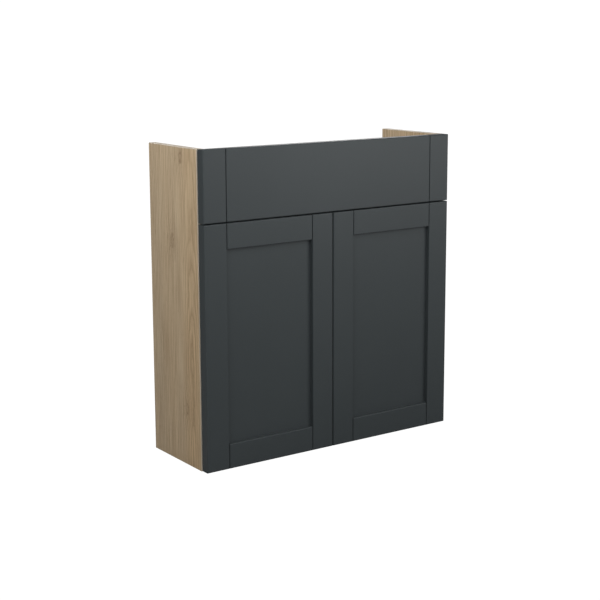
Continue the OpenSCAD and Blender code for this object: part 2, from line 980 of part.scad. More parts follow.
// The arm is a folded channel: two cheeks under a cranked web, with a
// slot round the rear screw for setting the door in or out
module hinge_arm() {
    sheet_run = [-arm_sheet, -arm_sheet / 3];
    difference() {
        union() {
            for (side = [0, 1])
                mirror([0, 0, side])
                    translate([0, 0, arm_cheek_start]) linear_extrude(arm_sheet) {
                        polygon([arm_front_pivot - [arm_nose, 0], arm_front_pivot + [arm_nose, 0],
                            [arm_crest, arm_crest_front], [arm_crest, arm_crest_rear],
                            [arm_top, arm_slope_rear], [arm_top, arm_rear],
                            [arm_floor + arm_corner, arm_rear],
                            [arm_floor, arm_rear - arm_corner],
                            [arm_floor, arm_slope_rear], arm_rear_pivot - [arm_rear_nose, 0]]);
                        translate(arm_front_pivot) circle(arm_nose);
                    }
            translate([0, 0, -arm_half]) linear_extrude(2 * arm_half)
                polygon([[arm_crest, arm_crest_front], [arm_crest, arm_crest_rear],
                    [arm_top, arm_slope_rear], [arm_top, arm_rear],
                    [arm_top - arm_sheet, arm_rear], [arm_top, arm_slope_rear] + sheet_run,
                    [arm_crest, arm_crest_rear] + sheet_run,
                    [arm_crest - arm_sheet, arm_crest_front]]);
        }
        for (p = [arm_rear_pivot, arm_front_pivot])
            rod_z(p, pin_radius + bore_fit, 3 * arm_half);
        arm_screw_bores();
        box([arm_top - arm_sheet - past, arm_screw_rows[1], -screw_radius - bore_fit],
            [arm_top + past, arm_screw_rows[1] + arm_slot, screw_radius + bore_fit]);
        rod_x([arm_top - arm_sheet - past, arm_screw_rows[1] + arm_slot, 0],
            screw_radius + bore_fit, arm_sheet + 2 * past);
    }
}

module arm_screw_bores() {
    for (y = arm_screw_rows)
        rod_x([arm_top - arm_screw_length, y, 0], screw_radius + bore_fit,
            arm_screw_length + past);
}

module arm_rivets() {
    for (p = [arm_rear_pivot, arm_front_pivot]) {
        rod_z(p, pin_radius, 2 * arm_half);
        for (side = [0, 1])
            mirror([0, 0, side])
                translate([p[0], p[1], arm_half])
                    cylinder(r = rivet_head_radius, h = rivet_head);
    }
}

module arm_screw_set() {
    for (y = arm_screw_rows)
        difference() {
            union() {
                rod_x([arm_top - arm_screw_length, y, 0], screw_radius, arm_screw_length);
                rod_x([arm_top, y, 0], arm_screw_head_radius, arm_screw_head);
            }
            translate([arm_top + arm_screw_head, y, 0]) rotate([0, 90, 0])
                cross_recess(screw_recess, recess_depth);
        }
}

module plate_screw_shanks(radius, extra) {
    for (z = [-1, 1])
        rod_x([plate_floor - plate_screw_grip, plate_row, z * plate_screw_span / 2],
            radius, plate_screw_grip + plate_base + extra);
}

// A wing with round ends for the two screws, under a raised bridge
module mounting_plate() {
    difference() {
        union() {
            box([plate_floor, plate_row - plate_wing, -plate_screw_span / 2],
                [plate_floor + plate_base, plate_row + plate_wing, plate_screw_span / 2]);
            for (z = [-1, 1])
                rod_x([plate_floor, plate_row, z * plate_screw_span / 2], plate_wing, plate_base);
            translate([0, 0, -plate_half]) linear_extrude(2 * plate_half)
                polygon([[plate_floor, plate_row - plate_wing],
                    [arm_top - arm_sheet - bridge_slope, plate_row - plate_wing],
                    [arm_top - arm_sheet, plate_row - plate_wing + bridge_slope],
                    [arm_top - arm_sheet, plate_rear], [plate_floor + plate_base, plate_rear],
                    [plate_floor, plate_rear - plate_base]]);
        }
        plate_screw_shanks(plate_screw_radius + bore_fit, past);
        arm_screw_bores();
    }
}

module plate_screw_pair() {
    difference() {
        union() {
            plate_screw_shanks(plate_screw_radius, 0);
            for (z = [-1, 1])
                rod_x([plate_floor + plate_base, plate_row, z * plate_screw_span / 2],
                    plate_screw_head_radius, plate_screw_head);
        }
        for (z = [-1, 1])
            translate([plate_floor + plate_base + plate_screw_head, plate_row,
                z * plate_screw_span / 2])
                rotate([0, 90, 0]) cross_recess(plate_screw_recess, recess_depth);
    }
}

module left_cups() {
    color(zinc) at_left_hinges() hinge_cup();
}

module left_cup_screws() {
    color(steel) at_left_hinges() cup_screws();
}

module left_cup_pins() {
    color(steel) at_left_hinges() cup_pins();
}

module left_outer_links() {
    color(zinc) at_left_hinges() outer_link();
}

module left_inner_links() {
    color(zinc) at_left_hinges() inner_link();
}

module left_arms() {
    color(zinc) at_left_hinges() hinge_arm();
}

module left_plates() {
    color(zinc) at_left_hinges() mounting_plate();
}

module right_cups() {
    color(zinc) mirrored() at_left_hinges() hinge_cup();
}

module right_cup_screws() {
    color(steel) mirrored() at_left_hinges() cup_screws();
}

module right_cup_pins() {
    color(steel) mirrored() at_left_hinges() cup_pins();
}

module right_outer_links() {
    color(zinc) mirrored() at_left_hinges() outer_link();
}

module right_inner_links() {
    color(zinc) mirrored() at_left_hinges() inner_link();
}

module right_arms() {
    color(zinc) mirrored() at_left_hinges() hinge_arm();
}

module right_plates() {
    color(zinc) mirrored() at_left_hinges() mounting_plate();
}

module arm_pins() {
    color(steel) both_sides() at_left_hinges() arm_rivets();
}

module arm_screws() {
    color(steel) both_sides() at_left_hinges() arm_screw_set();
}

module plate_screws() {
    color(steel) both_sides() at_left_hinges() plate_screw_pair();
}

left_side();
right_side();
base();
front_rail();
rear_top_rail();
rear_low_rail();
shelf();
front_edging();
top_edging();
base_edging();
shelf_edging();
dowels();
cam_bolts();
cam_locks();
shelf_pins();
fascia_panel();
fascia_left_stile();
fascia_right_stile();
fascia_spacers();
fascia_screws();
fascia_brackets();
bracket_screws();
left_plates();
right_plates();
plate_screws();
left_arms();
right_arms();
arm_pins();
arm_screws();
left_hinge_stile();
left_meeting_stile();
left_top_rail();
left_low_rail();
left_panel();
left_cups();
left_cup_screws();
left_cup_pins();
left_bumpers();
right_hinge_stile();
right_meeting_stile();
right_top_rail();
right_low_rail();
right_panel();
right_cups();
right_cup_screws();
right_cup_pins();
right_bumpers();
left_outer_links();
left_inner_links();
right_outer_links();
right_inner_links();
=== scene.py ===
from math import asin, cos, pi, sin

import bmesh
import bpy
from mathutils import Matrix, Vector


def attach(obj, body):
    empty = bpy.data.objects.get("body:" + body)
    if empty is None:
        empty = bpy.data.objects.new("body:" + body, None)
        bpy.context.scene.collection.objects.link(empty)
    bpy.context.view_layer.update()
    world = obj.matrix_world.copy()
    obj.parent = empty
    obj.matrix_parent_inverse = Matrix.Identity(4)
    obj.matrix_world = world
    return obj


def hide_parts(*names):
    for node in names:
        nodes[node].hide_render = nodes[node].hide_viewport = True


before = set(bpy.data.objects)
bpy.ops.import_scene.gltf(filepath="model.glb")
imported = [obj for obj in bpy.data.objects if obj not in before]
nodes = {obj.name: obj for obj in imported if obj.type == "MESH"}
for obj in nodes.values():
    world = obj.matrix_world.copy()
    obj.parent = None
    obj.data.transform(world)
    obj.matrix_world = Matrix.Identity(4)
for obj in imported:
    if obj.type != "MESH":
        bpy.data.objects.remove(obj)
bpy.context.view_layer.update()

# Studio. The unit is seen from the left and a little above, with a long lens,
# on a plain white floor in a white surround. Soft panels of light hang above,
# in front and behind, so that its faces darken gently towards the floor.
CAMERA_PLACE = (-1.5491, -2.2126, 0.8498)
CAMERA_YAW, CAMERA_PITCH, CAMERA_ROLL = 0.6078, 0.1775, 0.0038
LIGHTS_AIM = Vector((0.0, 0.0, 0.4))
WHITE = (1.0, 1.0, 1.0, 1.0)
BRIGHTNESS_SEEN, SURROUND_GLOW = 1.05, 0.12
FLOOR_TONE = (0.3, 0.3, 0.3, 1.0)
FLOOR_REACH, FLOOR_DROP = 1.6, 0.0005


def in_scene(name, data):
    """A new object in the scene that holds the data."""
    made = bpy.data.objects.new(name, data)
    bpy.context.scene.collection.objects.link(made)
    return made


def mesh_of(name, shape):
    """A mesh with the shape of a bmesh, which is then let go."""
    made = bpy.data.meshes.new(name)
    shape.to_mesh(made)
    shape.free()
    return made


def add_node(tree, kind, inputs=None, **settings):
    """A node of the tree, with its settings, values and links."""
    made = tree.nodes.new("ShaderNode" + kind)
    for name, value in settings.items():
        setattr(made, name, value)
    for name, value in (inputs or {}).items():
        if isinstance(value, bpy.types.NodeSocket):
            tree.links.new(value, made.inputs[name])
        else:
            made.inputs[name].default_value = value
    return made


def seen_apart(tree, lit, seen):
    """One shader for the light that falls on the unit, another for what the camera sees."""
    return add_node(tree, "MixShader", {
        0: add_node(tree, "LightPath").outputs["Is Camera Ray"],
        1: lit.outputs[0],
        2: seen.outputs[0]}).outputs[0]


camera = in_scene("camera", bpy.data.cameras.new("camera"))
bpy.context.scene.camera = camera
camera.data.lens = 79.69
camera.data.shift_y = -0.06
camera.data.sensor_width = 36.0
camera.data.clip_start = 0.05
camera.data.clip_end = 50.0
camera.matrix_world = (
    Matrix.Translation(CAMERA_PLACE)
    @ Matrix.Rotation(-CAMERA_YAW, 4, "Z")
    @ Matrix.Rotation(pi / 2 - CAMERA_PITCH, 4, "X")
    @ Matrix.Rotation(-CAMERA_ROLL, 4, "Z")
)

world = bpy.data.worlds.new("surround")
bpy.context.scene.world = world
world.use_nodes = True
tree = world.node_tree
tree.nodes.clear()
glow = add_node(tree, "Background", {"Color": WHITE, "Strength": SURROUND_GLOW})
backdrop = add_node(tree, "Background", {"Color": WHITE, "Strength": BRIGHTNESS_SEEN})
add_node(tree, "OutputWorld", {"Surface": seen_apart(tree, glow, backdrop)})

for name, place, size, power in (
        ("light_above_front", (-0.3, -0.75, 1.25), 0.7, 4.3),
        ("light_front", (-0.3, -1.7, 0.75), 1.4, 2.6),
        ("light_front_right", (1.05, -1.45, 0.82), 1.0, 9.3),
        ("light_front_left", (-1.5, -1.0, 0.9), 1.0, 5.8),
        ("light_above_left", (-0.95, 0.05, 1.0), 0.6, 2.9),
        ("light_back", (-0.15, 1.5, 1.2), 0.6, 12.0),
        ("light_back_right", (1.1, 1.4, 0.95), 0.6, 3.0)):
    light = bpy.data.lights.new(name, "AREA")
    light.size = size
    light.energy = power
    towards = LIGHTS_AIM - Vector(place)
    in_scene(name, light).matrix_world = (
        Matrix.Translation(place) @ towards.to_track_quat("-Z", "Y").to_matrix().to_4x4())

shape = bmesh.new()
bmesh.ops.create_grid(shape, x_segments=1, y_segments=1, size=FLOOR_REACH)
floor = in_scene("floor", mesh_of("floor", shape))
floor.location.z = -FLOOR_DROP
plain = bpy.data.materials.new("white_floor")
plain.use_nodes = True
tree = plain.node_tree
tree.nodes.clear()
matt = add_node(tree, "BsdfDiffuse", {"Color": FLOOR_TONE})
bright = add_node(tree, "Emission", {"Color": WHITE, "Strength": BRIGHTNESS_SEEN})
add_node(tree, "OutputMaterial", {"Surface": seen_apart(tree, matt, bright)})
floor.data.materials.append(plain)
bpy.context.scene.view_settings.view_transform = "Standard"


# Carcass boards. Side panels, base, rails and shelf are chipboard faced
# with an oak-effect paper: pale greyish oak with fine dark pores, a pointed
# figure and a few small knots. The raw edges show the pressed chips.
def material_of(name, **values):
    """A new material, its tree and its shader, with plain values set on the shader."""
    made = bpy.data.materials.new(name)
    made.use_nodes = True
    shader = made.node_tree.nodes["Principled BSDF"]
    for key, value in values.items():
        shader.inputs[key.replace("_", " ")].default_value = value
    return made, made.node_tree, shader


def maths(tree, operation, *values):
    """The result of a Math node."""
    return add_node(tree, "Math", dict(enumerate(values)), operation=operation).outputs[0]


def blend(tree, amount, first, second):
    """A colour between two others. The Mix node takes them in its sockets 6 and 7."""
    return add_node(tree, "Mix", {0: amount, 6: first, 7: second}, data_type="RGBA").outputs[2]


def spread(tree, value, low, high, new_low=0.0, new_high=1.0):
    """A value brought from one span to another, and held inside it."""
    return add_node(tree, "MapRange", {
        "Value": value, "From Min": low, "From Max": high,
        "To Min": new_low, "To Max": new_high}).outputs["Result"]


def noise(tree, vector, scale, detail, roughness=0.5):
    """Noise on a vector, from 0 to 1."""
    return add_node(tree, "TexNoise", {
        "Vector": vector, "Scale": scale, "Detail": detail,
        "Roughness": roughness}).outputs["Fac"]


def stretched_noise(tree, vector, scales, detail, roughness=0.5, lift=0.0):
    """Noise with a scale for each axis. The lift keeps it apart from others like it."""
    stretched = add_node(tree, "Mapping", {
        "Vector": vector, "Scale": scales, "Location": (0.0, lift, 0.0)})
    return noise(tree, stretched.outputs["Vector"], 1.0, detail, roughness)


def wavering(tree, vector, scales, amount, **values):
    """Stretched noise that runs half the amount to each side of zero."""
    level = stretched_noise(tree, vector, scales, **values)
    return maths(tree, "MULTIPLY", maths(tree, "SUBTRACT", level, 0.5), amount)


def object_place(tree):
    """Object coordinates."""
    return add_node(tree, "TexCoord").outputs["Object"]


def turned(tree, rotation):
    """Object coordinates, turned so that the grain runs along the board."""
    return add_node(tree, "Mapping", {
        "Vector": object_place(tree), "Rotation": rotation}).outputs["Vector"]


def surface(tree, shader, colour, roughness, height, strength, distance):
    """The shader gets its colour, its roughness, and its relief with a depth in metres."""
    bump = add_node(tree, "Bump", {"Strength": strength, "Distance": distance, "Height": height})
    tree.links.new(colour, shader.inputs["Base Color"])
    tree.links.new(roughness, shader.inputs["Roughness"])
    tree.links.new(bump.outputs["Normal"], shader.inputs["Normal"])


def srgb(red, green, blue):
    """A shader colour from the 0 to 255 values that a colour picker shows."""
    def linear(level):
        level /= 255.0
        return level / 12.92 if level <= 0.04045 else ((level + 0.055) / 1.055) ** 2.4
    return (linear(red), linear(green), linear(blue), 1.0)


def group_of(name, takes, gives):
    """An empty shader node group with named sockets."""
    made = bpy.data.node_groups.new(name, "ShaderNodeTree")
    for socket, kind, value in takes:
        entry = made.interface.new_socket(
            socket, in_out="INPUT", socket_type="NodeSocket" + kind)
        if value is not None:
            entry.default_value = value
    for socket, kind in gives:
        made.interface.new_socket(socket, in_out="OUTPUT", socket_type="NodeSocket" + kind)
    return made, made.nodes.new("NodeGroupInput"), made.nodes.new("NodeGroupOutput")


def place_group(tree, group, vector, **values):
    """The group in a material's tree, on a vector and with its own values."""
    made = add_node(tree, "Group", node_tree=group)
    tree.links.new(vector, made.inputs["Vector"])
    for key, value in values.items():
        made.inputs[key.replace("_", " ")].default_value = value
    return made


# The figure is drawn on a vector whose Z runs along the grain and whose X runs
# across the rings. Noise scales are per metre: across, through and along. A span
# holds two levels and what they turn into, or 0 and 1 where it names only two.
WANDER_SCALES = (9.0, 6.0, 2.2)
RIPPLE_SCALES, RIPPLE = (60.0, 9.0, 26.0), 0.0062
RISE_SCALES, RISE_START, RISE_WAVER = (3.0, 5.0, 6.0), 0.004, 0.02
RING_SHADES = ((0.0, 1.0), (0.18, 0.55), (0.45, 0.1), (0.75, 0.0), (0.93, 0.35), (1.0, 0.75))
STRENGTH_SCALES, STRENGTH_SPAN = (14.0, 6.0, 1.6), (0.35, 0.65, 0.25, 1.0)
PORE_SCALES, PORE_SPAN = (950.0, 950.0, 48.0), (0.57, 0.66)
PORES_IN_RING_SPAN = (0.0, 0.7, 0.25, 1.0)
TONE_SCALES = (11.0, 5.0, 1.1)
STREAK_SCALES = (320.0, 40.0, 7.0)
HEART_EDGE, HEART_MIDDLE = 0.045, 0.012


def wood_grain():
    """A group for oak: rings that close in points round a heart, pores and tones."""
    made, taken, given = group_of(
        "wood_grain",
        [("Vector", "Vector", None), ("Ring Width", "Float", 0.006),
         ("Figure Centre", "Float", 0.0), ("Figure Rise", "Float", 0.05),
         ("Knots", "Float", 0.0), ("Wander", "Float", 0.012)],
        [("Rings", "Float"), ("Pores", "Float"), ("Tone", "Float"), ("Streaks", "Float"),
         ("Heart", "Float")])
    board = taken.outputs["Vector"]
    axes = add_node(made, "SeparateXYZ", {"Vector": board})
    wander = wavering(made, board, WANDER_SCALES, taken.outputs["Wander"], detail=3.0)
    aside = maths(made, "SUBTRACT", axes.outputs["X"], taken.outputs["Figure Centre"])
    aside = maths(made, "ADD", aside, wander)
    height = maths(made, "MULTIPLY_ADD", axes.outputs["Z"], taken.outputs["Figure Rise"],
                   RISE_START)
    height = maths(made, "ADD", height,
                   wavering(made, board, RISE_SCALES, RISE_WAVER, detail=2.0, lift=9.1))
    radius = maths(made, "SQRT", maths(made, "ADD", maths(made, "MULTIPLY", aside, aside),
                                       maths(made, "MULTIPLY", height, height)))
    ripple = wavering(made, board, RIPPLE_SCALES, RIPPLE, detail=3.0, roughness=0.6, lift=3.7)
    radius = maths(made, "ADD", maths(made, "ADD", radius, ripple), taken.outputs["Knots"])
    phase = maths(made, "FRACT", maths(made, "DIVIDE", radius, taken.outputs["Ring Width"]))
    shade = add_node(made, "ValToRGB", {"Fac": phase})
    stops = shade.color_ramp.elements
    for position, _ in RING_SHADES[1:-1]:
        stops.new(position)
    for stop, (_, level) in zip(stops, RING_SHADES):
        stop.color = (level, level, level, 1.0)
    strength = stretched_noise(made, board, STRENGTH_SCALES, detail=2.0, lift=5.3)
    rings = maths(made, "MULTIPLY", shade.outputs["Color"],
                  spread(made, strength, *STRENGTH_SPAN))
    pores = stretched_noise(made, board, PORE_SCALES, detail=2.0, roughness=0.6)
    pores = maths(made, "MULTIPLY", spread(made, pores, *PORE_SPAN),
                  spread(made, rings, *PORES_IN_RING_SPAN))
    tone = stretched_noise(made, board, TONE_SCALES, detail=3.0, lift=7.7)
    streaks = stretched_noise(made, board, STREAK_SCALES, detail=3.0, roughness=0.6)
    heart = spread(made, maths(made, "ABSOLUTE", aside), HEART_EDGE, HEART_MIDDLE)
    for name, value in (("Rings", rings), ("Pores", pores), ("Tone", tone),
                        ("Streaks", streaks), ("Heart", heart)):
        made.links.new(value, given.inputs[name])
    return made


CHIP_DARK, CHIP_LIGHT = srgb(158, 131, 97), srgb(204, 181, 144)
CHIPS_PER_METRE = 800.0


def pressed_chips():
    """A group for the raw edge of chipboard: flakes, each in a tone of its own."""
    made, taken, given = group_of(
        "pressed_chips", [("Vector", "Vector", None)], [("Colour", "Color"), ("Height", "Float")])
    flakes = add_node(made, "TexVoronoi", {
        "Vector": taken.outputs["Vector"], "Scale": CHIPS_PER_METRE, "Randomness": 1.0})
    tone = add_node(made, "SeparateColor", {"Color": flakes.outputs["Color"]}).outputs[0]
    made.links.new(blend(made, tone, CHIP_DARK, CHIP_LIGHT), given.inputs["Colour"])
    made.links.new(flakes.outputs["Distance"], given.inputs["Height"])
    return made


grain, chips = wood_grain(), pressed_chips()

# A knot is twice as high as it is wide. It is darkest at its rim, has faded out a
# little outside it, and pushes the rings aside as far as its reach. These three
# and its unevenness are shares of its size. The push is in metres.
KNOT_SQUEEZE = (1.0, 1.0, 0.5)
KNOT_RIM, KNOT_OUTSIDE, KNOT_REACH, KNOT_UNEVENNESS = 0.5, 1.1, 4.0, 1.2
KNOT_PUSH, KNOT_MIDDLE_DARKNESS, KNOT_HALO_DARKNESS = 0.016, 0.25, 0.6
KNOT_MOTTLE_SCALES, KNOT_MOTTLE_SPAN = (700.0, 700.0, 175.0), (0.35, 0.62, 0.3, 1.0)


def knot_marks(tree, knots):
    """How far knots push the rings aside, and how dark they are. Each is given by its
    middle and its size in metres, and by how clear its outline is."""
    place = object_place(tree)
    uneven = maths(tree, "SUBTRACT", noise(tree, place, scale=140.0, detail=3.0), 0.5)
    mottled = spread(tree, stretched_noise(tree, place, KNOT_MOTTLE_SCALES, detail=3.0),
                     *KNOT_MOTTLE_SPAN)
    push, dark = 0.0, 0.0
    for middle, size, clearness in knots:
        away = add_node(tree, "VectorMath", {0: place, 1: middle}, operation="SUBTRACT")
        squeezed = add_node(tree, "VectorMath", {0: away.outputs[0], 1: KNOT_SQUEEZE},
                            operation="MULTIPLY")
        distance = add_node(tree, "VectorMath", {0: squeezed.outputs[0]}, operation="LENGTH")
        distance = maths(tree, "MULTIPLY_ADD", uneven, size * KNOT_UNEVENNESS,
                         distance.outputs["Value"])
        near = spread(tree, distance, size * KNOT_REACH, 0.0)
        near = maths(tree, "MULTIPLY", near, near)
        push = maths(tree, "MULTIPLY_ADD", near, KNOT_PUSH, push)
        rim = maths(tree, "MINIMUM",
                    spread(tree, distance, size * KNOT_OUTSIDE, size * KNOT_RIM),
                    spread(tree, distance, 0.0, size * KNOT_RIM, KNOT_MIDDLE_DARKNESS, 1.0))
        rim = maths(tree, "MULTIPLY", rim, maths(tree, "MAXIMUM", mottled, clearness))
        halo = maths(tree, "MULTIPLY", maths(tree, "MULTIPLY", near, mottled), KNOT_HALO_DARKNESS)
        dark = maths(tree, "MAXIMUM", maths(tree, "MAXIMUM", rim, halo), dark)
    return push, dark


OAK_LIGHT, OAK_WARM = srgb(214, 194, 163), srgb(219, 191, 151)
OAK_DARK, OAK_KNOT = srgb(147, 118, 86), srgb(112, 80, 52)
HEART_WARMTH, WARM_TONE_SPAN = 0.55, (0.35, 0.7, 0.0, 0.6)
RING_DEPTH, STREAK_DEPTH, PORE_DEPTH, KNOT_DEPTH = 0.6, 0.5, 0.75, 0.6
STREAK_SPAN = (0.4, 0.66)
CHIP_ROUGHNESS, PAPER_ROUGHNESS = 0.85, 0.42
RING_SMOOTHNESS_SPAN, PORE_RELIEF = (0.0, 1.0, 1.0, 0.85), -0.3


def oak_board(name, rotation, faced, centre=0.0, knots=()):
    """Oak-effect board, with paper on the faces across one axis and raw chips on the rest."""
    made, tree, shader = material_of(name, Specular_IOR_Level=0.35)
    figure = place_group(tree, grain, turned(tree, rotation), Figure_Centre=centre)
    streaks = spread(tree, figure.outputs["Streaks"], *STREAK_SPAN)
    marks = [(figure.outputs["Rings"], RING_DEPTH, OAK_DARK), (streaks, STREAK_DEPTH, OAK_DARK),
             (figure.outputs["Pores"], PORE_DEPTH, OAK_DARK)]
    if knots:
        push, dark = knot_marks(tree, knots)
        tree.links.new(push, figure.inputs["Knots"])
        marks.append((dark, KNOT_DEPTH, OAK_KNOT))
    warm = maths(tree, "MULTIPLY_ADD", figure.outputs["Heart"], HEART_WARMTH,
                 spread(tree, figure.outputs["Tone"], *WARM_TONE_SPAN))
    colour = blend(tree, warm, OAK_LIGHT, OAK_WARM)
    for mark, depth, mark_colour in marks:
        colour = blend(tree, maths(tree, "MULTIPLY", mark, depth), colour, mark_colour)
    core = place_group(tree, chips, object_place(tree))
    facing = add_node(tree, "SeparateXYZ", {
        "Vector": add_node(tree, "TexCoord").outputs["Normal"]})
    paper = maths(tree, "GREATER_THAN", maths(tree, "ABSOLUTE", facing.outputs[faced]), 0.5)
    smooth = maths(tree, "MULTIPLY", paper,
                   spread(tree, figure.outputs["Rings"], *RING_SMOOTHNESS_SPAN))
    relief = blend(tree, paper, core.outputs["Height"],
                   maths(tree, "MULTIPLY", figure.outputs["Pores"], PORE_RELIEF))
    surface(tree, shader, blend(tree, paper, core.outputs["Colour"], colour),
            spread(tree, smooth, 0.0, 1.0, CHIP_ROUGHNESS, PAPER_ROUGHNESS),
            relief, strength=0.25, distance=0.0002)
    return made


def dress(material, *names):
    """The CAD nodes of these names get the material."""
    for name in names:
        nodes[name].data.materials.clear()
        nodes[name].data.materials.append(material)


UPRIGHT = (0.0, 0.0, -pi / 2)
LEVEL_ON_EDGE = (0.0, pi / 2, 0.0)
LEVEL_FLAT = (pi / 2, pi / 2, 0.0)
SIDE_FIGURE_CENTRE, RAIL_FIGURE_CENTRE = -0.052, 0.03
SIDE_KNOTS = (
    ((-0.300, -0.020, 0.606), 0.008, 0.9),
    ((-0.300, 0.017, 0.440), 0.010, 0.2),
    ((-0.300, -0.030, 0.114), 0.009, 0.5),
    ((0.300, 0.010, 0.520), 0.007, 0.8),
    ((0.300, -0.045, 0.150), 0.009, 0.4))
dress(oak_board("oak_side", UPRIGHT, "X", SIDE_FIGURE_CENTRE, SIDE_KNOTS),
      "left_side", "right_side")
dress(oak_board("oak_flat", LEVEL_FLAT, "Z"), "base", "shelf")
dress(oak_board("oak_rail", LEVEL_ON_EDGE, "Y", RAIL_FIGURE_CENTRE),
      "front_rail", "rear_top_rail", "rear_low_rail")

# Edging. Strips of oak-coloured plastic, a millimetre thick and printed with
# the same grain, are glued along the edges that show: the front and top of the
# side panels, and the front of the base and shelf.
EDGE_LIGHT, EDGE_DARK = srgb(217, 205, 187), srgb(179, 162, 138)
EDGE_RING_DEPTH, EDGE_STREAK_DEPTH = 0.35, 0.3
EDGE_ROUGHNESS_SPAN = (0.3, 0.7, 0.4, 0.5)


def oak_edging(name, rotation):
    """Edging strip, with its grain along it and a closer figure than the boards."""
    made, tree, shader = material_of(name, Specular_IOR_Level=0.4)
    figure = place_group(tree, grain, turned(tree, rotation), Ring_Width=0.003)
    streaks = figure.outputs["Streaks"]
    dark = maths(tree, "MULTIPLY_ADD", figure.outputs["Rings"], EDGE_RING_DEPTH,
                 maths(tree, "MULTIPLY", streaks, EDGE_STREAK_DEPTH))
    surface(tree, shader, blend(tree, dark, EDGE_LIGHT, EDGE_DARK),
            spread(tree, streaks, *EDGE_ROUGHNESS_SPAN),
            figure.outputs["Pores"], strength=0.2, distance=0.0001)
    return made


dress(oak_edging("oak_edging_upright", (0.0, 0.0, 0.0)), "front_edging")
dress(oak_edging("oak_edging_deep", (pi / 2, 0.0, 0.0)), "top_edging")
dress(oak_edging("oak_edging_level", LEVEL_ON_EDGE), "base_edging", "shelf_edging")

# Fronts. Doors and false drawer front are framed fibreboard, each strip and
# panel wrapped in anthracite foil: satin, even, with a very fine texture.
ANTHRACITE, ANTHRACITE_CLOUD = srgb(62, 68, 70), srgb(57, 63, 65)
FOIL_CLOUD_SPAN, FOIL_ROUGHNESS_SPAN = (0.35, 0.65, 0.0, 0.35), (0.3, 0.7, 0.40, 0.48)


def wrapped_front(name):
    """Satin foil on fibreboard, with a faint cloudy tone."""
    made, tree, shader = material_of(name, Specular_IOR_Level=0.4)
    place = object_place(tree)
    cloud = spread(tree, noise(tree, place, scale=5.0, detail=3.0), *FOIL_CLOUD_SPAN)
    fine = noise(tree, place, scale=900.0, detail=2.0)
    surface(tree, shader, blend(tree, cloud, ANTHRACITE, ANTHRACITE_CLOUD),
            spread(tree, fine, *FOIL_ROUGHNESS_SPAN), fine, strength=0.12, distance=0.0001)
    return made


SIDES = ("left", "right")
DOOR_PIECES = ("hinge_stile", "meeting_stile", "top_rail", "low_rail", "panel")
dress(wrapped_front("anthracite_satin"),
      "fascia_panel", "fascia_left_stile", "fascia_right_stile",
      *(side + "_" + piece for side in SIDES for piece in DOOR_PIECES))

# Joint fittings. Turned beech dowels, and zinc cam locks that draw their
# plated bolts tight, hold the base and rails between the side panels. The
# shelf lies on four plated pins.
BEECH_LIGHT, BEECH_DARK, BEECH_STREAK_DEPTH = srgb(222, 192, 150), srgb(186, 150, 106), 0.6
beech, tree, shader = material_of("beech_dowel", Roughness=0.6, Specular_IOR_Level=0.3)
figure = place_group(tree, grain, turned(tree, LEVEL_ON_EDGE), Ring_Width=0.002)
streaks = maths(tree, "MULTIPLY", figure.outputs["Streaks"], BEECH_STREAK_DEPTH)
tree.links.new(blend(tree, streaks, BEECH_LIGHT, BEECH_DARK), shader.inputs["Base Color"])
dress(beech, "dowels")

SCRATCH_SCALES = (900.0, 4000.0, 4000.0)


def plated(name, light, dark, roughness):
    """Bright plated metal with faint cloudy tone and fine scratches."""
    made, tree, shader = material_of(name, Metallic=1.0)
    place = object_place(tree)
    cloud = noise(tree, place, scale=90.0, detail=2.0)
    scratch = stretched_noise(tree, place, SCRATCH_SCALES, detail=2.0)
    surface(tree, shader, blend(tree, cloud, light, dark),
            spread(tree, scratch, 0.3, 0.7, roughness - 0.04, roughness + 0.06),
            scratch, strength=0.04, distance=0.00002)
    return made


zinc = plated("zinc_casting", srgb(188, 188, 186), srgb(150, 150, 148), 0.42)
steel = plated("plated_steel", srgb(212, 212, 213), srgb(190, 190, 192), 0.3)
dress(zinc, "cam_locks")
dress(steel, "cam_bolts", "shelf_pins")

# Hinges. Cup, links, arm and mounting plate are pressed steel, nickel plated,
# and plated pins join them.
HINGE_PIECES = ("cups", "outer_links", "inner_links", "arms", "plates")
nickel = plated("nickel_plate", srgb(216, 213, 206), srgb(196, 193, 186), 0.3)
dress(nickel, *(side + "_" + piece for side in SIDES for piece in HINGE_PIECES))
dress(steel, "arm_pins", "left_cup_pins", "right_cup_pins")

# Screws. Plated steel, with a domed head, a cross recess and a rolled thread.
# Each stands where the CAD model has its plainer screw, and has the same
# head, shank and length.
RIM_OF_HEAD_HEIGHT, FLAT_OF_HEAD_RADIUS = 0.35, 0.64
REACH_OF_HEAD_RADIUS, HALF_WIDTH_OF_HEAD_RADIUS, RECESS_TAPER = 0.55, 0.13, 0.6
THREAD_PITCH, ROOT_OF_SHANK_RADIUS, CREST_OF_PITCH = 0.0018, 0.74, 0.4
DOME_STEPS, TURN_STEPS, SHARP_ANGLE = 6, 32, pi / 6
WELD, FINE_WELD, SAME_HEIGHT, NEAR_HEAD_RADIUS = 1e-6, 1e-7, 1e-5, 0.98


def separate_solids(node):
    """The points of each solid of a CAD node."""
    shape = bmesh.new()
    shape.from_mesh(nodes[node].data)
    bmesh.ops.remove_doubles(shape, verts=shape.verts, dist=WELD)
    seen, solids = set(), []
    for start in shape.verts:
        if start in seen:
            continue
        seen.add(start)
        reached = [start]
        for point in reached:
            for edge in point.link_edges:
                other = edge.other_vert(point)
                if other not in seen:
                    seen.add(other)
                    reached.append(other)
        solids.append([point.co.copy() for point in reached])
    shape.free()
    return solids


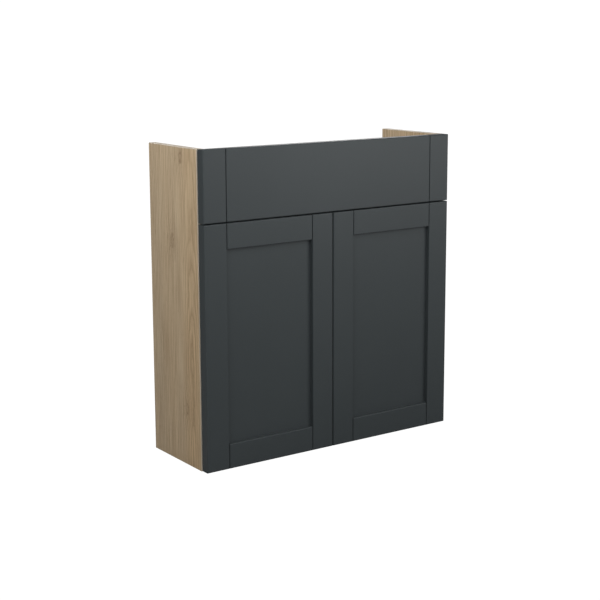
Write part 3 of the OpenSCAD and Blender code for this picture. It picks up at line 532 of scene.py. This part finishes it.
def screw_sizes(points):
    """A CAD screw's tip, its direction from tip to head, and its radii and lengths."""
    low = Vector(min(point[k] for point in points) for k in range(3))
    high = Vector(max(point[k] for point in points) for k in range(3))
    axis = max(range(3), key=lambda k: high[k] - low[k])
    middle = (low + high) / 2

    def off_axis(point):
        across = point - middle
        across[axis] = 0.0
        return across.length

    ends = {end: max(off_axis(point) for point in points if abs(point[axis] - end) < SAME_HEIGHT)
            for end in (low[axis], high[axis])}
    tip_end = min(ends, key=ends.get)
    sign = 1.0 if tip_end == low[axis] else -1.0
    direction = Vector(sign * (k == axis) for k in range(3))
    tip = middle.copy()
    tip[axis] = tip_end
    head = max(off_axis(point) for point in points)
    neck = min((point - tip).dot(direction) for point in points
               if off_axis(point) > NEAR_HEAD_RADIUS * head)
    return tip, direction, ends[tip_end], head, neck, high[axis] - low[axis]


def screw_outline(shank, head, neck, length):
    """Radius and height of a screw's outline, from its point up to the flat of its dome."""
    root = shank * ROOT_OF_SHANK_RADIUS
    outline = [(0.0, 0.0), (root, shank)]
    height = shank
    while height + THREAD_PITCH < neck - shank:
        outline += [(shank, height + CREST_OF_PITCH * THREAD_PITCH), (root, height + THREAD_PITCH)]
        height += THREAD_PITCH
    outline += [(shank, height + THREAD_PITCH / 2), (shank, neck), (head, neck)]
    rim = neck + RIM_OF_HEAD_HEIGHT * (length - neck)
    last = asin(FLAT_OF_HEAD_RADIUS)
    for k in range(DOME_STEPS + 1):
        turn = pi / 2 + (last - pi / 2) * k / DOME_STEPS
        outline.append((head * sin(turn), rim + (length - rim) * cos(turn) / cos(last)))
    return outline


def cut_cross(one, head, neck, length):
    """The open top of a turned screw is closed with a flat that has a sunk cross in it."""
    reach, half = REACH_OF_HEAD_RADIUS * head, HALF_WIDTH_OF_HEAD_RADIUS * head
    corners = [(reach, -half), (reach, half), (half, half)]
    cross = [one.verts.new((x * cos(a) - y * sin(a), x * sin(a) + y * cos(a), length))
             for a in (0, pi / 2, pi, 3 * pi / 2) for x, y in corners]
    sides = [one.edges.new(pair) for pair in zip(cross, cross[1:] + cross[:1])]
    around = [edge for edge in one.edges if edge.is_boundary]
    bmesh.ops.triangle_fill(one, use_beauty=True, edges=around + sides)
    sunk = bmesh.ops.extrude_edge_only(one, edges=sides)["geom"]
    for point in sunk:
        if isinstance(point, bmesh.types.BMVert):
            point.co = (point.co.x * RECESS_TAPER, point.co.y * RECESS_TAPER, (length + neck) / 2)
    bmesh.ops.triangle_fill(one, use_beauty=True, edges=[
        edge for edge in sunk if isinstance(edge, bmesh.types.BMEdge) and edge.is_boundary])


def add_screw(shape, points):
    """One screw, turned from its outline and set where the points of the CAD screw are."""
    tip, direction, shank, head, neck, length = screw_sizes(points)
    one = bmesh.new()
    profile = [one.verts.new((x, 0.0, z)) for x, z in screw_outline(shank, head, neck, length)]
    edges = [one.edges.new(pair) for pair in zip(profile, profile[1:])]
    bmesh.ops.spin(one, geom=profile + edges, axis=(0, 0, 1), cent=(0, 0, 0), angle=2 * pi,
                   steps=TURN_STEPS, use_merge=True)
    bmesh.ops.remove_doubles(one, verts=one.verts, dist=FINE_WELD)
    cut_cross(one, head, neck, length)
    bmesh.ops.recalc_face_normals(one, faces=one.faces)
    for face in one.faces:
        face.smooth = True
    for edge in one.edges:
        edge.smooth = edge.calc_face_angle(0.0) < SHARP_ANGLE
    one.transform(Matrix.Translation(tip) @ direction.to_track_quat("Z", "Y").to_matrix().to_4x4())
    mesh = mesh_of("one_screw", one)
    shape.from_mesh(mesh)
    bpy.data.meshes.remove(mesh)


for node, body in (
        ("arm_screws", "carcass"), ("plate_screws", "carcass"), ("fascia_screws", "carcass"),
        ("bracket_screws", "carcass"), ("left_cup_screws", "left_door"),
        ("right_cup_screws", "right_door")):
    shape = bmesh.new()
    for points in separate_solids(node):
        add_screw(shape, points)
    screws = in_scene("domed_" + node, mesh_of("domed_" + node, shape))
    screws.data.materials.append(steel)
    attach(screws, body)
    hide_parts(node)


# Plastic fittings. White moulded spacers and corner brackets hold the false
# drawer front, and clear soft bumpers quieten the doors.
def moulded(name, light, dark, roughness, **values):
    """Moulded plastic with a faint cloudy tone and a fine grain from its mould."""
    made, tree, shader = material_of(name, **values)
    place = object_place(tree)
    cloud = noise(tree, place, scale=60.0, detail=3.0)
    fine = noise(tree, place, scale=2500.0, detail=1.0)
    surface(tree, shader, blend(tree, cloud, light, dark),
            spread(tree, fine, 0.3, 0.7, roughness - 0.05, roughness + 0.05),
            fine, strength=0.1, distance=0.00005)
    return made


dress(moulded("white_plastic", srgb(226, 226, 222), srgb(214, 214, 209), 0.45),
      "fascia_spacers", "fascia_brackets")
dress(moulded("clear_rubber", srgb(214, 214, 208), srgb(200, 200, 194), 0.3,
              Transmission_Weight=0.5),
      "left_bumpers", "right_bumpers")
